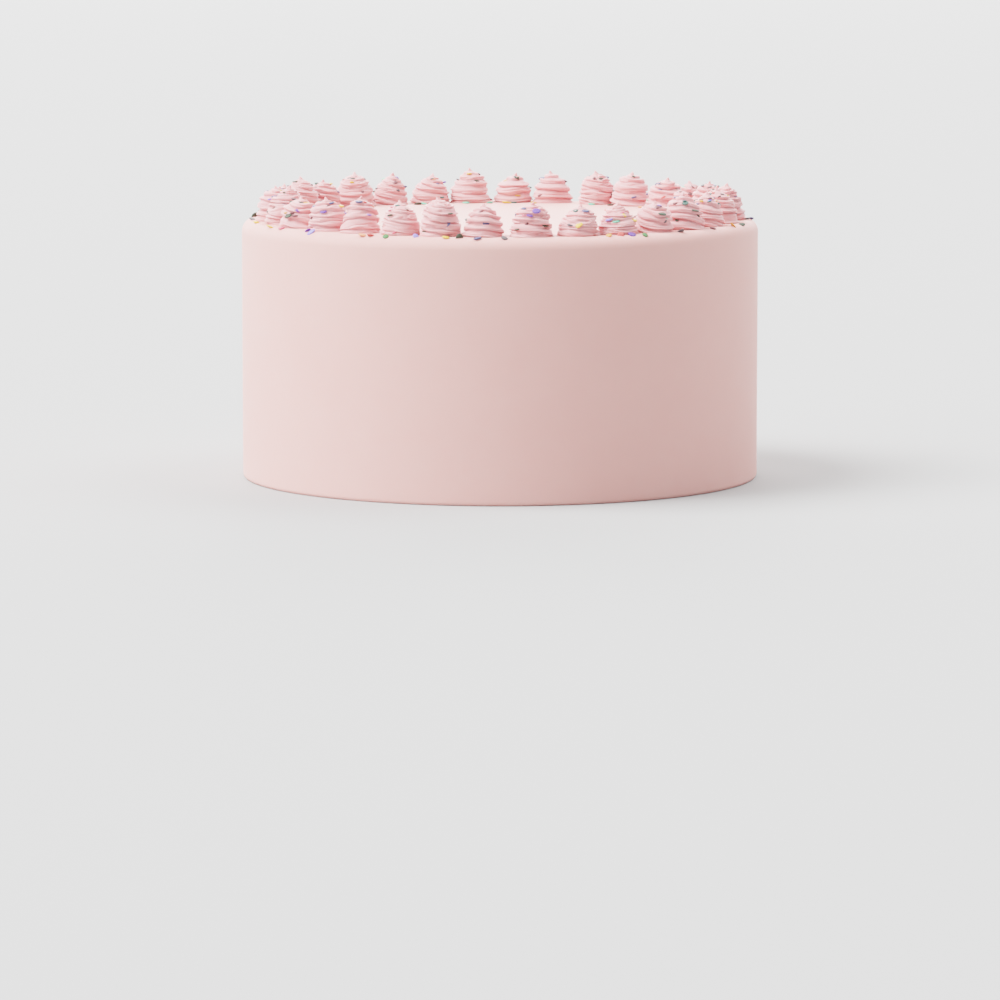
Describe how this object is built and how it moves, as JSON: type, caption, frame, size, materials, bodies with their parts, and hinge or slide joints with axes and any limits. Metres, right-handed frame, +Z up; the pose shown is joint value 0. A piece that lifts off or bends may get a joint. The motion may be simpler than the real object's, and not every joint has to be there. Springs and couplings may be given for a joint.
{
  "type": "birthday cake",
  "caption": "Round uncut celebration cake with smooth frosting and a ring of piped swirls standing round its flat top edge.",
  "frame": {"origin": "centre of the cake's flat underside", "axes": "+Z up along the cake's axis; -Y towards the front"},
  "size_m": [0.216, 0.216, 0.1241],
  "materials": {
    "frosting": "smooth pale pink buttercream, soft satin",
    "piping": "piped pink buttercream, ribbed, soft satin",
    "sprinkles": "hard sugar confetti in mixed colours, dull"
  },
  "bodies": {
    "root": {"cake": "frosting", "swirl_01": "piping", "swirl_02": "piping", "swirl_03": "piping", "swirl_04": "piping", "swirl_05": "piping", "swirl_06": "piping", "swirl_07": "piping", "swirl_08": "piping", "swirl_09": "piping", "swirl_10": "piping", "swirl_11": "piping", "swirl_12": "piping", "swirl_13": "piping", "swirl_14": "piping", "swirl_15": "piping", "swirl_16": "piping", "swirl_17": "piping", "swirl_18": "piping", "swirl_19": "piping", "swirl_20": "piping", "swirl_21": "piping", "swirl_22": "piping", "swirl_23": "piping", "swirl_24": "piping", "swirl_25": "piping", "swirl_26": "piping", "swirl_27": "piping", "swirl_28": "piping", "swirl_29": "piping", "swirl_30": "piping", "swirl_31": "piping", "swirl_32": "piping"}
  },
  "joints": []
}
